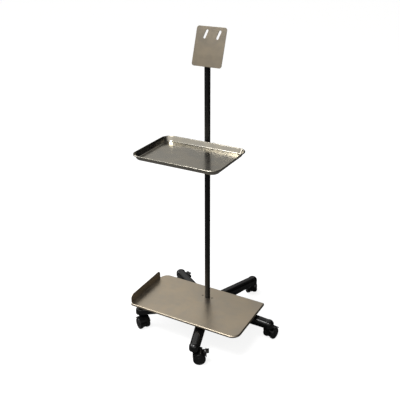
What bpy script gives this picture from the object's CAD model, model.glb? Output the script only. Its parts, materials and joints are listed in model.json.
# %% [markdown]
# # The looks of an instrument cart
# The cart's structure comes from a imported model: a frame of named nodes, each on a named
# body that moves. Here the nodes get their finishes, and the ones that are seen most are
# built again as finer meshes: pressed sheet metal, moulded nylon and turned wheels.
# All lengths are in metres, in the model's own frame, with the floor at zero.

# %% Load the frame
import json
from math import cos, pi, radians, sin, tau

import bmesh
import bpy
from mathutils import Matrix, Vector

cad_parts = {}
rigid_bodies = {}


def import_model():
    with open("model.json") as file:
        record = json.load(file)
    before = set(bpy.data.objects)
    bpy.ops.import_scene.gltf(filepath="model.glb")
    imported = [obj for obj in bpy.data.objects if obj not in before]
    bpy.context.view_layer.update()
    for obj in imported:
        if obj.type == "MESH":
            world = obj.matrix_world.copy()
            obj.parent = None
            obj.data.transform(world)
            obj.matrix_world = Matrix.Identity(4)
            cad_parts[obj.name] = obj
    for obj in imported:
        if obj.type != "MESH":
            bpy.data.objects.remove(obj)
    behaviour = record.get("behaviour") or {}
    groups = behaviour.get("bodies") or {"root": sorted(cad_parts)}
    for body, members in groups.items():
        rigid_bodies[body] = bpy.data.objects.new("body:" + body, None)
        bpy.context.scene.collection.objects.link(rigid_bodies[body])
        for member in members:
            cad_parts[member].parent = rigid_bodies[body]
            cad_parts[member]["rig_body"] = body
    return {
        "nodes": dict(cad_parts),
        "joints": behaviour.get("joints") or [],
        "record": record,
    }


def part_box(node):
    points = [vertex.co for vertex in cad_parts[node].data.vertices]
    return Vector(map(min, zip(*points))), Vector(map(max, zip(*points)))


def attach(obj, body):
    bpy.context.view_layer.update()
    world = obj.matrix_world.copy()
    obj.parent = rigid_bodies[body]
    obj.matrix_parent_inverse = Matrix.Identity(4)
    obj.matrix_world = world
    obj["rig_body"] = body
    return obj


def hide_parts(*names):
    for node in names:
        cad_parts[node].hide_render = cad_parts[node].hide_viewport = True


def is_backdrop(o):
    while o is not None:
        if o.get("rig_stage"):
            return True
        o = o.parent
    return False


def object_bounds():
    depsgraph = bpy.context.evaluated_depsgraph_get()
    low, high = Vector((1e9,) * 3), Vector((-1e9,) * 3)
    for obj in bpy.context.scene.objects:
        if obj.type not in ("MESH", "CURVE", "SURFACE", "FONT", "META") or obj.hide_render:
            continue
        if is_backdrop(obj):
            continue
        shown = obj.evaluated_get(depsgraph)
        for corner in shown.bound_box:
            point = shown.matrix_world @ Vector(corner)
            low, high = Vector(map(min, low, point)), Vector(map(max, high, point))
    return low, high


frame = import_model()
cad_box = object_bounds()
nodes = frame["nodes"]
joints = {joint["name"]: joint for joint in frame["joints"]}
slot_of = {part["node"]: part["material_slot"] for part in frame["record"]["subparts"]}
body_of = {node: made["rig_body"] for node, made in nodes.items()}
mounts = {mount["name"]: mount for mount in frame["record"]["mounts"]}
places = [name[len("swivel_"):] for name in joints if name.startswith("swivel_")]
MM = 0.001

# %% [markdown]
# ## Camera
# The cart is seen from the front right, from eye height, with a short telephoto lens that
# looks down at it. The camera faces the mast and is given by its distance from it, so that
# the angle can be changed without losing the aim. The lens is shifted a little sideways,
# which puts the mast off centre while it stays upright in the picture.

# %% Aim the camera at the mast
mast_axis = Vector(joints["tray_swivel"]["pos_m"]).xy
camera_turn = radians(28.3)
camera_distance = 2.171
camera_height = 1.578
camera_pitch = radians(25.1)
lens_length = 55.58
sideways_shift = -0.0186

camera_data = bpy.data.cameras.new("studio_camera")
camera_data.lens = lens_length
camera_data.sensor_width = 36
camera_data.shift_x = sideways_shift
camera = bpy.data.objects.new("studio_camera", camera_data)
bpy.context.collection.objects.link(camera)
bpy.context.scene.camera = camera
aside = Vector((sin(camera_turn), -cos(camera_turn))) * camera_distance
camera.location = (mast_axis + aside).to_3d() + Vector((0, 0, camera_height))
camera.rotation_euler = (pi / 2 - camera_pitch, 0, camera_turn)
print("camera at", [round(c, 3) for c in camera.location])

# %% [markdown]
# ## Shader maths
# A finish is a network of nodes. Writing it as Python sums is much easier to read than
# wiring Math nodes one by one, so a small class wraps a socket and turns +, - and * into
# nodes, whichever side the number stands on. Every other node goes through one method,
# which sets the node up first and then fills its sockets or links them. The studio's sky
# and floor use the same network.

# %% A socket that can be added and multiplied
class Value:
    def __init__(self, network, socket):
        self.network = network
        self.socket = socket

    def __add__(self, other):
        return self.network.maths("ADD", self, other)

    def __mul__(self, other):
        return self.network.maths("MULTIPLY", self, other)

    def __sub__(self, other):
        return self.network.maths("SUBTRACT", self, other)

    def __rsub__(self, other):
        return self.network.maths("SUBTRACT", other, self)

    __radd__ = __add__
    __rmul__ = __mul__


# %% A network of nodes
class Network:
    def __init__(self, tree):
        self.tree = tree
        tree.nodes.clear()

    def feed(self, socket, value):
        if isinstance(value, Value):
            self.tree.links.new(value.socket, socket)
        else:
            socket.default_value = value

    def node(self, kind, settings=None, sockets=None, output=0):
        """Adds a node: its settings first, then what its sockets hold or are linked to."""
        made = self.tree.nodes.new("ShaderNode" + kind)
        for name, value in (settings or {}).items():
            setattr(made, name, value)
        for name, value in (sockets or {}).items():
            self.feed(made.inputs[name], value)
        return Value(self, made.outputs[output]) if made.outputs else made

    def maths(self, operation, first, second):
        return self.node("Math", {"operation": operation}, {0: first, 1: second})

    def slope(self, value, low, high, start=0.0, end=1.0):
        """An even change from start, where the value is low, to end, where it is high."""
        ends = {"From Min": low, "From Max": high, "To Min": start, "To Max": end}
        return self.node("MapRange", {"clamp": True}, {"Value": value, **ends})

    def blend(self, factor, first, second):
        """A mix of two colours."""
        return self.node(
            "Mix", {"data_type": "RGBA"}, {0: factor, 6: first, 7: second}, output=2
        )


# %% A finish: one material round a Principled shader
class Finish(Network):
    """Constants sit on the shader's own sockets; noises feed the sockets that vary."""

    def __init__(self, name, **constants):
        self.material = bpy.data.materials.new(name)
        self.material.use_nodes = True
        super().__init__(self.material.node_tree)
        self.shader = self.tree.nodes.new("ShaderNodeBsdfPrincipled")
        self.surface = Value(self, self.shader.outputs[0])
        self.output = self.node("OutputMaterial", sockets={0: self.surface})
        for socket, value in constants.items():
            self.set(socket.replace("_", " "), value)

    def set(self, socket, value):
        self.feed(self.shader.inputs[socket], value)

    def place(self, stretch=(1, 1, 1), turn=(0, 0, 0), centre=(0, 0, 0)):
        """Object coordinates, turned and stretched about a centre."""
        here = self.node("TexCoord", output="Object")
        minus = {"operation": "SUBTRACT"}
        moved = self.node("VectorMath", minus, {0: here, 1: tuple(centre)})
        how = {"Vector": moved, "Rotation": tuple(turn), "Scale": tuple(stretch)}
        return self.node("Mapping", {"vector_type": "POINT"}, how)

    def noise(self, where, scale, detail=2.0, roughness=0.5):
        how = {"Vector": where, "Scale": scale, "Detail": detail, "Roughness": roughness}
        return self.node("TexNoise", {"noise_dimensions": "3D"}, how)

    def bump(self, height, strength, distance):
        how = {"Height": height, "Strength": strength, "Distance": distance}
        return self.node("Bump", sockets=how)


def colour(red, green, blue):
    return (red, green, blue, 1.0)


# %% [markdown]
# ## Moulded nylon
# The star base, the hoods, the brake levers and the knob are glass-filled nylon from a
# polished mould. It is nearly black and glossy, but never a perfect mirror: the fibres make
# a slight orange peel, and hands and shoes leave patches that shine less and look dusty. A
# soft noise drives the roughness and the dust, and a fine one drives a very low bump. The
# wheels are the same nylon, but rougher and dustier, since they roll on the floor.

# %% Black nylon, for mouldings and for wheels
def nylon(name, shade, gloss, dust):
    finish = Finish(name, IOR=1.53)
    where = finish.place()
    patches = finish.noise(where, 22.0, 4.0, 0.55)
    specks = finish.noise(where, 700.0, 2.0, 0.6)
    peel = finish.noise(where, 420.0, 1.0, 0.4)
    grey = finish.slope(patches * 0.75 + specks * 0.25, 0.50, 0.78)
    pale = colour(shade + 0.030, shade + 0.029, shade + 0.027)
    dark = colour(shade, shade, shade * 1.05)
    finish.set("Base Color", finish.blend(grey * dust, dark, pale))
    finish.set("Roughness", gloss + patches * 0.16 + grey * 0.10)
    finish.set("Normal", finish.bump(peel, 0.10, 0.0002))
    return finish.material


black_nylon = nylon("moulded_black_nylon", 0.0035, 0.12, 0.3)
wheel_nylon = nylon("wheel_nylon", 0.0045, 0.22, 0.6)
print("nylon:", len(black_nylon.node_tree.nodes), "nodes")

# %% [markdown]
# ## Powder coat
# The mast, the bracket behind the plate and the tray's support are steel under a black
# powder coat. The coat flows into a pebbled skin of about a millimetre, with a fine grit in
# it. Its gloss is lower than the nylon's. Faint rub marks run round the mast where the
# tray's bush has slid, so they are stretched flat across the mast's length.

# %% Black powder coat
def powder_coat(name):
    finish = Finish(name, IOR=1.5)
    where = finish.place()
    rubbed = finish.place(stretch=(8, 8, 900))
    pebbles = finish.noise(where, 950.0, 2.0, 0.45)
    grit = finish.noise(where, 2600.0, 1.0, 0.5)
    clouds = finish.noise(where, 14.0, 3.0, 0.5)
    rubs = finish.slope(finish.noise(rubbed, 1.0, 2.0, 0.6), 0.60, 0.80)
    dark = colour(0.0040, 0.0040, 0.0045)
    rubbed_grey = colour(0.016, 0.016, 0.017)
    finish.set("Base Color", finish.blend(rubs * 0.35, dark, rubbed_grey))
    finish.set("Roughness", 0.30 + clouds * 0.14 - rubs * 0.07)
    finish.set("Normal", finish.bump(pebbles * 0.7 + grit * 0.3, 0.16, 0.0002))
    return finish.material


black_coat = powder_coat("black_powder_coat")
print("powder coat:", len(black_coat.node_tree.nodes), "nodes")

# %% [markdown]
# ## Stainless steel
# The shelf, the mounting plate and the tray are stainless sheet. A grinding belt leaves
# straight hairlines along the sheet, which spread reflections. So each finish has a noise
# that is stretched a few hundred times along the grain. It moves the roughness and a small
# bump, and slow clouds shift the colour a little, as on steel that was rolled and wiped.
# A sparse set of marks across the grain stands for the scratches of use. The plate leans
# back, so its pattern is leant by the same angle.

# %% Sheet steel with its grain along X
def sheet_steel(name, tint, rough, grain, centre, lean=0.0, scratches=0.5):
    finish = Finish(name, Metallic=1.0)
    along = finish.place((1.2, 320, 320), (lean, 0, 0), centre)
    finer = finish.place((4.0, 1500, 1500), (lean, 0, 0), centre)
    across = finish.place((500, 9, 9), (lean, 0, 0.45), centre)
    plain = finish.place(centre=centre)
    lines = finish.noise(along, 1.0, 3.0, 0.6)
    hairs = finish.noise(finer, 1.0, 2.0, 0.5)
    clouds = finish.noise(plain, 7.0, 4.0, 0.55)
    smears = finish.noise(plain, 26.0, 3.0, 0.6)
    marks = finish.slope(finish.noise(across, 1.0, 2.0, 0.5), 0.69, 0.78) * scratches
    red, green, blue = tint
    cool = colour(red * 0.88, green * 0.90, blue * 0.93)
    warm = colour(red * 1.06, green * 1.04, blue * 1.0)
    patches = finish.slope(clouds * 0.6 + smears * 0.4, 0.36, 0.62)
    finish.set("Base Color", finish.blend(patches, cool, warm))
    worn = rough + (lines - 0.5) * grain + (smears - 0.5) * 0.16
    finish.set("Roughness", worn + marks * 0.06)
    height = lines * 0.6 + hairs * 0.4 - marks * 0.3
    finish.set("Normal", finish.bump(height, 0.05 + grain * 0.2, 0.0001))
    return finish.material


def middle(node):
    low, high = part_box(node)
    return (low + high) / 2


plate_lean = Vector(mounts["plate_face"]["axis"]).angle(Vector((0, -1, 0)))
shelf_steel = sheet_steel(
    "satin_stainless_shelf", (0.585, 0.505, 0.395), 0.34, 0.16, middle("shelf")
)
plate_steel = sheet_steel(
    "satin_stainless_plate",
    (0.255, 0.22, 0.17),
    0.40,
    0.14,
    middle("head_plate"),
    plate_lean,
)
tray_steel = sheet_steel(
    "bright_stainless_tray",
    (0.49, 0.46, 0.395),
    0.20,
    0.10,
    middle("tray_pan"),
    scratches=0.8,
)
print("plate leans", round(plate_lean * 180 / pi, 1), "degrees")

# %% [markdown]
# ## Small metal and plain nylon
# Zinc plate is bright and slightly clouded, brass is warmer, and the bush is uncoloured
# nylon, which is milky: light enters it a little way. Each of them needs only one or two
# noises, since the pieces are small. The second noise on the metals is squeezed into thin
# level layers, which look like a lathe's rings on an upright screw.

# %% Plated steel, brass and the bush
def plated(name, tint, rough):
    finish = Finish(name, Metallic=1.0)
    where = finish.place()
    clouds = finish.noise(where, 120.0, 3.0, 0.6)
    turned = finish.noise(finish.place((60, 60, 2500)), 1.0, 1.0)
    red, green, blue = tint
    dull = colour(red * 0.85, green * 0.86, blue * 0.88)
    finish.set("Base Color", finish.blend(clouds, dull, colour(*tint)))
    finish.set("Roughness", rough + clouds * 0.14)
    finish.set("Normal", finish.bump(turned, 0.10, 0.00005))
    return finish.material


def natural_nylon(name):
    finish = Finish(name, IOR=1.53, Subsurface_Weight=0.15)
    finish.shader.inputs["Subsurface Radius"].default_value = (0.002, 0.0018, 0.0012)
    clouds = finish.noise(finish.place(), 60.0, 3.0, 0.5)
    aged, fresh = colour(0.62, 0.58, 0.49), colour(0.72, 0.69, 0.60)
    finish.set("Base Color", finish.blend(clouds, aged, fresh))
    finish.set("Roughness", 0.34 + clouds * 0.14)
    return finish.material


zinc = plated("zinc_plate", (0.60, 0.60, 0.58), 0.20)
screw_steel = plated("dull_steel", (0.30, 0.27, 0.22), 0.26)
brass = plated("brass", (0.68, 0.50, 0.22), 0.22)
bush_nylon = natural_nylon("natural_nylon")
print("small pieces:", ", ".join(f.name for f in (zinc, screw_steel, brass, bush_nylon)))

# %% [markdown]
# ## A finish for each node
# Every node takes the finish of its material slot in the record. Two are exceptions: the
# mounting plate is a duller sheet than the shelf, with its grain leaning, and the shelf's
# screws are darker than the fasteners underneath.

# %% Give each node its finish
finish_of_slot = {
    "black_plastic": black_nylon,
    "wheel_plastic": wheel_nylon,
    "black_paint": black_coat,
    "satin_steel": shelf_steel,
    "bright_steel": tray_steel,
    "zinc_steel": zinc,
    "brass": brass,
    "nylon": bush_nylon,
}
finish_of_node = {node: finish_of_slot[slot] for node, slot in slot_of.items()}
finish_of_node["head_plate"] = plate_steel
finish_of_node["shelf_screws"] = screw_steel
for node, finish in finish_of_node.items():
    for slot in nodes[node].material_slots:
        slot.material = finish
finish_count = len({finish.name for finish in finish_of_node.values()})
print(finish_count, "finishes on", len(finish_of_node), "nodes")

# %% [markdown]
# ## Making pieces
# Each new piece is a bmesh that becomes an object at the origin, with its place in its
# mesh. It rides on the body of the node that it stands for. Sheet metal is drawn as a
# surface without thickness, and gets its wall at the end, so a Solidify modifier and a
# small Bevel finish it. Weighted normals keep the flat areas flat where they meet a bend.

# %% Turn a bmesh into a piece
def finished(shape, name, node, smooth=40, wall=0.0, edge=0.0, replaces=True):
    """Faces that meet at more than the smooth angle, in degrees, keep a sharp edge."""
    data = bpy.data.meshes.new(name)
    shape.to_mesh(data)
    shape.free()
    data.shade_smooth()
    data.set_sharp_from_angle(angle=radians(smooth))
    data.materials.append(finish_of_node[node])
    piece = bpy.data.objects.new(name, data)
    bpy.context.collection.objects.link(piece)
    if wall:
        thick = piece.modifiers.new("wall", "SOLIDIFY")
        thick.thickness = wall
        thick.offset = 0
        thick.use_even_offset = True
    if edge:
        round_off = piece.modifiers.new("edge", "BEVEL")
        round_off.width = edge
        round_off.segments = 2
        round_off.limit_method = "ANGLE"
        round_off.angle_limit = radians(50)
    even = piece.modifiers.new("normals", "WEIGHTED_NORMAL")
    even.keep_sharp = True
    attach(piece, body_of[node])
    if replaces:
        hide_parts(node)
    return piece


# %% [markdown]
# ## Mouldings and bent plates with soft edges
# A moulded or cut edge is never razor sharp, and the thin line of light along it tells the
# eye what the piece is made of. The shapes of the base, hoods, levers, brackets and plate
# are already right in the model. So each is copied, its loose triangles are merged into
# faces, and only the edges that turn sharply are bevelled, by the radius that its process
# leaves: more on a moulding, less on a laser-cut plate.

# %% Copy a node and round its edges
def sharp_edges(shape, turn):
    """Edges whose two faces meet at more than an angle in degrees."""
    limit = radians(turn)
    return [e for e in shape.edges if e.is_manifold and e.calc_face_angle() > limit]


def softened(node, name, radius, segments=2, turn=38):
    shape = bmesh.new()
    shape.from_mesh(nodes[node].data)
    bmesh.ops.remove_doubles(shape, verts=shape.verts, dist=2e-6)
    bmesh.ops.dissolve_limit(
        shape, angle_limit=radians(0.4), verts=shape.verts, edges=shape.edges
    )
    edges = sharp_edges(shape, turn)
    bmesh.ops.bevel(
        shape,
        geom=edges,
        offset=radius,
        offset_type="OFFSET",
        affect="EDGES",
        segments=segments,
        profile=0.5,
        material=-1,
        clamp_overlap=True,
    )
    piece = finished(shape, name, node)
    print(name, len(piece.data.polygons), "faces, edges rounded:", len(edges))
    return piece


softened("star_base", "star_base_moulding", 0.9 * MM)
softened("head_plate", "mounting_plate", 0.35 * MM)
softened("head_bracket", "plate_bracket", 0.5 * MM)
softened("tray_support", "tray_support_sheet", 0.4 * MM)
softened("tray_collar", "clamp_collar", 0.5 * MM)
softened("clamp_knob", "lobed_knob", 1.2 * MM, segments=3)
for place in places:
    softened(f"caster_hood_{place}", f"hood_{place}", 0.7 * MM)

# %% [markdown]
# ## Rims of sheet metal
# A tray and a shelf start the same way: a flat floor with round corners, whose rim is run
# outwards through a list of small steps, each so far out and so far up. The direction
# outwards at a rim point is away from its corner's centre, or square to the side where the
# point lies between two corners. Both come from one rule: away from the nearest point of
# the rectangle that ends at the corner's centre. It holds for every ring, however far out.
# A bend is a list of equal chords whose heading turns, so a section reads as it is pressed.

# %% Floor, bends and rims
def rounded_floor(shape, centre, size, radii, inset):
    """A flat face with round corners, smaller by the inset than the outline given."""
    half = size.xy / 2 - Vector((inset, inset))
    turn = Matrix.Translation(centre) @ Matrix.Diagonal((half.x, half.y, 1, 1))
    bmesh.ops.create_grid(shape, x_segments=1, y_segments=1, size=1, matrix=turn)
    for corner in shape.verts[:]:
        here = corner.co - centre
        radius = radii[here.x > 0, here.y > 0] - inset
        bmesh.ops.bevel(
            shape,
            geom=[corner],
            offset=radius,
            offset_type="OFFSET",
            affect="VERTICES",
            segments=14,
            profile=0.5,
            material=-1,
        )


def bend(radius, start, end, count):
    """Steps (out, up) along an arc whose heading turns from start to end, in degrees."""
    turn = radians(end - start) / count
    chord = 2 * radius * sin(abs(turn) / 2)
    headings = [radians(start) + turn * (i + 0.5) for i in range(count)]
    return [(chord * cos(h), chord * sin(h)) for h in headings]


def run_rim(shape, rim, steps, centre, size, radii):
    """Extrudes rim edges through steps; size and radii are those of the whole outline."""
    for out, up in steps:
        made = bmesh.ops.extrude_edge_only(shape, edges=rim)["geom"]
        rim = [g for g in made if isinstance(g, bmesh.types.BMEdge)]
        for vert in {v for edge in rim for v in edge.verts}:
            here = (vert.co - centre).xy
            radius = radii[here.x > 0, here.y > 0]
            core = size.xy / 2 - Vector((radius, radius))
            near = Vector([max(-far, min(far, at)) for at, far in zip(here, core)])
            vert.co += ((here - near).normalized() * out).to_3d() + Vector((0, 0, up))
    return rim


# %% [markdown]
# ## The instrument tray
# The pan is pressed from one sheet of polished stainless steel. Its walls slope outwards,
# and its rim is rolled over into a bead that leaves no sharp edge for a hand. The bead is
# made as the press makes it, by turning the wall outwards, down and back under, and not by
# laying a tube on the edge. The section is worked out from the rim inwards, so that the
# bead ends where the model's does.

# %% Press the tray
tray_low, tray_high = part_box("tray_pan")
tray_wall = 1 * MM
bead_radius = 2.5 * MM
wall_slope = 63
bend_radius = 5 * MM + tray_wall / 2
curl_radius = bead_radius - tray_wall / 2
rim_corner = 38 * MM

curl_start = radians(wall_slope + 90)
wall_top_in = bead_radius - curl_radius * cos(curl_start)
wall_top_z = tray_high.z - bead_radius + curl_radius * sin(curl_start)
floor_z = tray_low.z + tray_wall / 2
bend_rise = bend_radius * (1 - cos(radians(wall_slope)))
wall_rise = wall_top_z - floor_z - bend_rise
wall_run = wall_rise / sin(radians(wall_slope)) * cos(radians(wall_slope))
floor_in = wall_top_in + wall_run + bend_radius * sin(radians(wall_slope))

tray_size = tray_high - tray_low
tray_centre = Vector((*((tray_low + tray_high) / 2).xy, floor_z))
corner_keys = [(right, back) for right in (False, True) for back in (False, True)]
tray_radii = {key: rim_corner for key in corner_keys}
tray_shape = bmesh.new()
rounded_floor(tray_shape, tray_centre, tray_size, tray_radii, floor_in)
curl_end = -225
tray_steps = bend(bend_radius, 0, wall_slope, 6)
tray_steps += [(wall_run / 2, wall_rise / 2)] * 2
tray_steps += bend(curl_radius, wall_slope, curl_end, 20)
run_rim(tray_shape, tray_shape.edges[:], tray_steps, tray_centre, tray_size, tray_radii)
tray_faces = len(tray_shape.faces)
finished(tray_shape, "pressed_tray", "tray_pan", 60, tray_wall, 0.25 * MM)
print("tray floor starts", round(floor_in * 1000, 1), "mm in,", tray_faces, "faces")

# %% [markdown]
# ## The lower shelf
# The shelf is a bent sheet too, but with a plain lip that turns down at its front, right
# and back. Its left end turns up into a low fence between two corners. Two opposite corners
# are wide and two are tight. So the rim is run in two parts, the left edge upwards and the
# rest downwards, and the fence's top corners are rounded afterwards, as they are cut.

# %% Bend the shelf
shelf_low, shelf_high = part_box("shelf")
shelf_wall = 1.5 * MM
wide_corner = 36 * MM
tight_corner = 8 * MM
shelf_bend = 3 * MM + shelf_wall / 2
shelf_inset = shelf_bend + shelf_wall / 2
fence_corner = 18 * MM
shelf_z = mounts["shelf_top"]["pos_m"][2] - shelf_wall / 2
mast_radius = (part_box("mast")[1].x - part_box("mast")[0].x) / 2
screw_low, screw_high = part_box("shelf_screws")
screw_head = (screw_high.y - screw_low.y) / 2
screw_offset = (screw_high.x - screw_low.x) / 2 - screw_head

shelf_size = shelf_high - shelf_low
shelf_centre = Vector((*((shelf_low + shelf_high) / 2).xy, shelf_z))
shelf_radii = {(r, b): tight_corner if r == b else wide_corner for r, b in corner_keys}
shelf_shape = bmesh.new()
rounded_floor(shelf_shape, shelf_centre, shelf_size, shelf_radii, shelf_inset)
outline = shelf_shape.edges[:]
left_x = shelf_low.x + shelf_inset
left_edge = [e for e in outline if all(abs(v.co.x - left_x) < 1e-5 for v in e.verts)]
others = [e for e in outline if e not in left_edge]
lip_drop = shelf_z - shelf_low.z - shelf_bend
fence_rise = shelf_high.z - shelf_z - shelf_bend
lip_steps = bend(shelf_bend, 0, -90, 6) + [(0, -lip_drop)]
fence_steps = bend(shelf_bend, 0, 90, 6) + [(0, fence_rise)]
run_rim(shelf_shape, others, lip_steps, shelf_centre, shelf_size, shelf_radii)
fence_top = run_rim(
    shelf_shape, left_edge, fence_steps, shelf_centre, shelf_size, shelf_radii
)
bmesh.ops.bevel(
    shelf_shape,
    geom=[v for edge in fence_top for v in edge.verts],
    offset=fence_corner,
    offset_type="OFFSET",
    affect="VERTICES",
    segments=8,
    profile=0.5,
    material=-1,
)

print("rim edges:", len(others), "turned down,", len(left_edge), "turned up")

# %% [markdown]
# The floor has three holes, for the mast and the two screws. A face can't hold a hole by
# itself, so the flat face is taken out, and its outline and the three circles are filled
# together with triangles. The wall comes last, as on the tray.

# %% Cut the shelf's holes
circles = []
mast_hole = mast_radius + 0.25 * MM
head_hole = screw_head + 0.1 * MM
for x, radius in ((0, mast_hole), (-screw_offset, head_hole), (screw_offset, head_hole)):
    at = Matrix.Translation((mast_axis.x + x, mast_axis.y, shelf_z))
    made = bmesh.ops.create_circle(shelf_shape, segments=32, radius=radius, matrix=at)
    circles += dict.fromkeys(e for vert in made["verts"] for e in vert.link_edges)
flat = max(shelf_shape.faces, key=lambda face: face.calc_area())
bmesh.ops.delete(shelf_shape, geom=[flat], context="FACES_ONLY")
bmesh.ops.triangle_fill(
    shelf_shape, edges=outline + circles, use_beauty=True, normal=(0, 0, 1)
)
bmesh.ops.recalc_face_normals(shelf_shape, faces=shelf_shape.faces)
shelf_faces = len(shelf_shape.faces)
finished(shelf_shape, "bent_shelf", "shelf", 60, shelf_wall, 0.3 * MM)
print("shelf", [round(s * 1000) for s in shelf_size.xy], "mm,", shelf_faces, "faces")

# %% [markdown]
# ## Casters
# Each caster's axle gives a small frame: X along the way it trails, Y up and Z along the
# axle. A wheel is round about its axle, so one half section is spun about it. It is a
# hollow wheel: a rim with a crowned tread, a thin disc near the outer face, and a hub that
# runs inwards to the web. The outer face has a step at the rim and a raised cap over the
# axle's end. Then every ring edge that is left sharp gets a small bevel.

# %% The frame of an axle
def axle_frame(joint):
    side = Vector(joints[joint]["axis"])
    trail = Vector((side.y, -side.x, 0))
    up = Vector((0, 0, 1))
    turned = Matrix((trail, up, -side)).transposed().to_4x4()
    return Matrix.Translation(joints[joint]["pos_m"]) @ turned


def reach(node, placed):
    """Lowest and highest corner of a node in a frame of its own."""
    back = placed.inverted()
    points = [back @ vert.co for vert in nodes[node].data.vertices]
    low = Vector([min(p[i] for p in points) for i in range(3)])
    high = Vector([max(p[i] for p in points) for i in range(3)])
    return low, high


# %% Turn the wheels
def wheel_section(radius, width):
    """Half section of a wheel: (distance from the axle, distance from its inner face)."""
    rim = radius - 4 * MM
    face = width - 1.6 * MM
    axle_hole, axle_depth = 3.05 * MM, 11.4 * MM
    hub, disc = 7.5 * MM, 10.4 * MM
    crown = [
        (radius - 0.5 * MM * (t / 3) ** 2 - 0.05 * MM, width / 2 + t * width / 9)
        for t in range(-3, 4)
    ]
    inner = [(0, axle_depth), (axle_hole, axle_depth), (axle_hole, 0), (hub, 0)]
    hollow = [(hub + 0.4 * MM, disc), (rim - 0.6 * MM, disc), (rim, 0.8 * MM)]
    shoulder_in = [(rim + 0.6 * MM, 0), (radius - 1.9 * MM, 0)]
    shoulder_out = [(radius - 2.4 * MM, width), (rim - 0.6 * MM, width), (rim - 1.2 * MM, face)]
    step = [(10.5 * MM, face - 0.7 * MM), (9.6 * MM, face - 0.7 * MM), (9.0 * MM, face + 0.1 * MM)]
    cap = [(6.4 * MM, face + 0.9 * MM), (2.6 * MM, face + 1.1 * MM), (2.1 * MM, face + 0.5 * MM)]
    middle_point = [(0, face + 0.4 * MM)]
    return inner + hollow + shoulder_in + crown + shoulder_out + step + cap + middle_point


def turned_wheel(node, name, joint):
    placed = axle_frame(joint)
    low, high = reach(node, placed)
    outwards = 1 if low.z + high.z > 0 else -1
    inner_face = min(abs(low.z), abs(high.z))
    shape = bmesh.new()
    section = wheel_section(high.y, high.z - low.z)
    verts = [shape.verts.new((r, 0, outwards * (inner_face + along))) for r, along in section]
    edges = [shape.edges.new(pair) for pair in zip(verts, verts[1:])]
    bmesh.ops.spin(
        shape,
        geom=verts + edges,
        cent=(0, 0, 0),
        axis=(0, 0, 1),
        angle=tau,
        steps=64,
        use_merge=True,
    )
    bmesh.ops.remove_doubles(shape, verts=shape.verts, dist=1e-6)
    bmesh.ops.recalc_face_normals(shape, faces=shape.faces)
    bmesh.ops.bevel(
        shape,
        geom=sharp_edges(shape, 40),
        offset=0.25 * MM,
        offset_type="OFFSET",
        affect="EDGES",
        segments=2,
        profile=0.5,
        material=-1,
        clamp_overlap=True,
    )
    shape.transform(placed)
    return finished(shape, name, node)


for place in places:
    for side in ("near", "far"):
        names = (f"{kind}_{side}_{place}" for kind in ("wheel", "turned_wheel", "spin"))
        wheel = turned_wheel(*names)
print("wheel:", len(wheel.data.polygons), "faces each")

# %% [markdown]
# ## Brake levers
# A foot presses the lever, so its pedal has raised ribs across it that stop a shoe from
# slipping. The lever itself is softened like the other mouldings. The ribs are bars of one
# bevelled cube, laid across the pedal in the lever's own frame, which leans up from the
# level by the rise of the pedal, and they ride with the lever.

# %% Soften the levers and rib their pedals
pedal_rise = radians(8)
pedal_top = 2 * MM
rib_width = 19 * MM
for place in places:
    node = f"brake_lever_{place}"
    if node not in nodes:
        continue
    softened(node, f"brake_pedal_{place}", 0.5 * MM)
    lever = axle_frame(f"brake_{place}") @ Matrix.Rotation(pedal_rise, 4, "Z")
    pedal_end = reach(node, lever)[1].x
    ribs = bmesh.new()
    for back in (3.2, 5.8, 8.4):
        bar = Vector((1.1 * MM, 1.0 * MM, rib_width))
        at = lever @ Matrix.Translation((pedal_end - back * MM, pedal_top, 0))
        bmesh.ops.create_cube(ribs, size=1, matrix=at @ Matrix.Diagonal((*bar, 1)))
    bmesh.ops.bevel(
        ribs,
        geom=ribs.edges[:],
        offset=0.35 * MM,
        offset_type="OFFSET",
        affect="EDGES",
        segments=3,
        profile=0.5,
        material=-1,
    )
    finished(ribs, f"pedal_ribs_{place}", node, replaces=False)
    print("pedal of", place, "ends", round(pedal_end * 1000, 1), "mm from its pin")

# %% [markdown]
# ## Studio
# The cart stands on a plain pale floor under soft light. Steel and gloss black show what is
# round them more than they show their own colour, so the studio matters as much as the
# finish. A white floor would light up every black tube from below. So the floor is white
# only where the camera looks at it, by an emission that a Light Path node lets through,
# and dark grey in what the cart reflects.

# %% Floor
floor_look = Finish("pale_floor", Roughness=0.9)
floor_fibres = floor_look.noise(floor_look.place(), 3.0, 2.0)
paper, shade = colour(0.36, 0.36, 0.36), colour(0.34, 0.34, 0.34)
floor_look.set("Base Color", floor_look.blend(floor_fibres, paper, shade))
floor_look.set("Emission Color", colour(1.0, 1.0, 1.0))
floor_look.set("Emission Strength", 0.86)
dim = floor_look.node("BsdfDiffuse", sockets={"Color": colour(0.12, 0.12, 0.12)})
to_camera = floor_look.node("LightPath")
both = floor_look.node("MixShader", sockets={0: to_camera, 1: dim, 2: floor_look.surface})
floor_look.feed(floor_look.output.inputs[0], both)

floor_reach = 20
floor_shape = bmesh.new()
bmesh.ops.create_grid(floor_shape, x_segments=1, y_segments=1, size=floor_reach)
floor_data = bpy.data.meshes.new("studio_floor")
floor_shape.to_mesh(floor_data)
floor_shape.free()
floor_data.materials.append(floor_look.material)
floor = bpy.data.objects.new("studio_floor", floor_data)
bpy.context.collection.objects.link(floor)
floor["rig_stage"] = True
print("floor of", 2 * floor_reach, "m each way")

# %% [markdown]
# Two soft boxes light the cart. The large one is high and a little to the left of the
# front, and gives the tops their light. The tall, narrow one stands on the left and draws
# the long highlights on the mast and the legs. They are wide for their distance, so that
# their shadows are soft.

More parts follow.
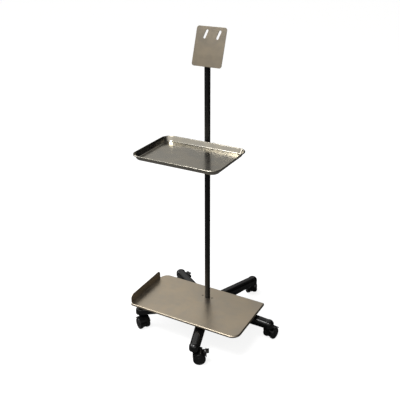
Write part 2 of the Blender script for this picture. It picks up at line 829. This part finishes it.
# %% Soft boxes
def soft_box(name, azimuth, elevation, distance, size, power):
    """An area light that faces the middle of the cart from a direction, in degrees."""
    aim = (cad_box[0] + cad_box[1]) / 2
    turn, rise = radians(azimuth), radians(elevation)
    away = Vector((sin(turn) * cos(rise), -cos(turn) * cos(rise), sin(rise)))
    data = bpy.data.lights.new(name, "AREA")
    data.shape = "RECTANGLE"
    data.size, data.size_y = size
    data.energy = power
    box = bpy.data.objects.new(name, data)
    box.location = aim + away * distance
    box.rotation_euler = (-away).to_track_quat("-Z", "Y").to_euler()
    bpy.context.collection.objects.link(box)
    box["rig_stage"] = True
    print(name, "of", power, "W at", [round(at, 2) for at in box.location])


soft_box("main_box", -20, 66, 2.6, (1.3, 1.3), 62)
soft_box("left_box", -75, 38, 2.6, (0.7, 1.6), 20)

# %% [markdown]
# The sky fills the rest of the studio. Its strength changes with the direction: it is dark
# towards the back right and low down, strongest about 40 degrees up, weak overhead, and a
# little stronger in front. That keeps the shelf and the tray's back wall light, the faces that
# look right darker, and the tops of the black legs from turning grey. Where the camera
# looks straight at the sky it is plain white, like the floor.

# %% Sky
world = bpy.data.worlds.new("studio_sky")
bpy.context.scene.world = world
world.use_nodes = True
sky = Network(world.node_tree)
facing = sky.node("TexCoord", output="Generated")
across = sky.node("SeparateXYZ", sockets={0: facing}, output="X")
back = sky.node("SeparateXYZ", sockets={0: facing}, output="Y")
height = sky.node("SeparateXYZ", sockets={0: facing}, output="Z")
open_side = sky.slope(across * 0.75 + back * 0.66, 0.12, 0.58, 0.86, 0.03)
off_the_floor = sky.slope(height, 0.06, 0.62, 0.02, 1.0)
off_the_top = sky.slope(height, 0.66, 0.90, 1.0, 0.20)
from_front = sky.slope(back, -0.9, 0.3, 1.25, 1.0)
strength = open_side * (off_the_floor * off_the_top) * from_front
nearly_white = colour(1.0, 0.99, 0.97)
light = sky.node("Background", sockets={"Color": nearly_white, "Strength": strength})
pale = sky.node("Background", sockets={"Color": nearly_white, "Strength": 1.0})
to_camera = sky.node("LightPath")
both = sky.node("MixShader", sockets={0: to_camera, 1: light, 2: pale})
sky.node("OutputWorld", sockets={0: both})
bpy.context.scene.view_settings.view_transform = "Standard"
print("sky of", len(world.node_tree.nodes), "nodes")

# %% [markdown]
# ## Sizes
# The finer pieces must not outgrow the model that they stand for. Both boxes are written
# down, and the difference is printed in millimetres.

# %% Compare the boxes and finish
visual_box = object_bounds()
for label, before, after in zip(("low", "high"), cad_box, visual_box):
    print(label, "corner moved by", [round(d * 1000, 2) for d in after - before], "mm")
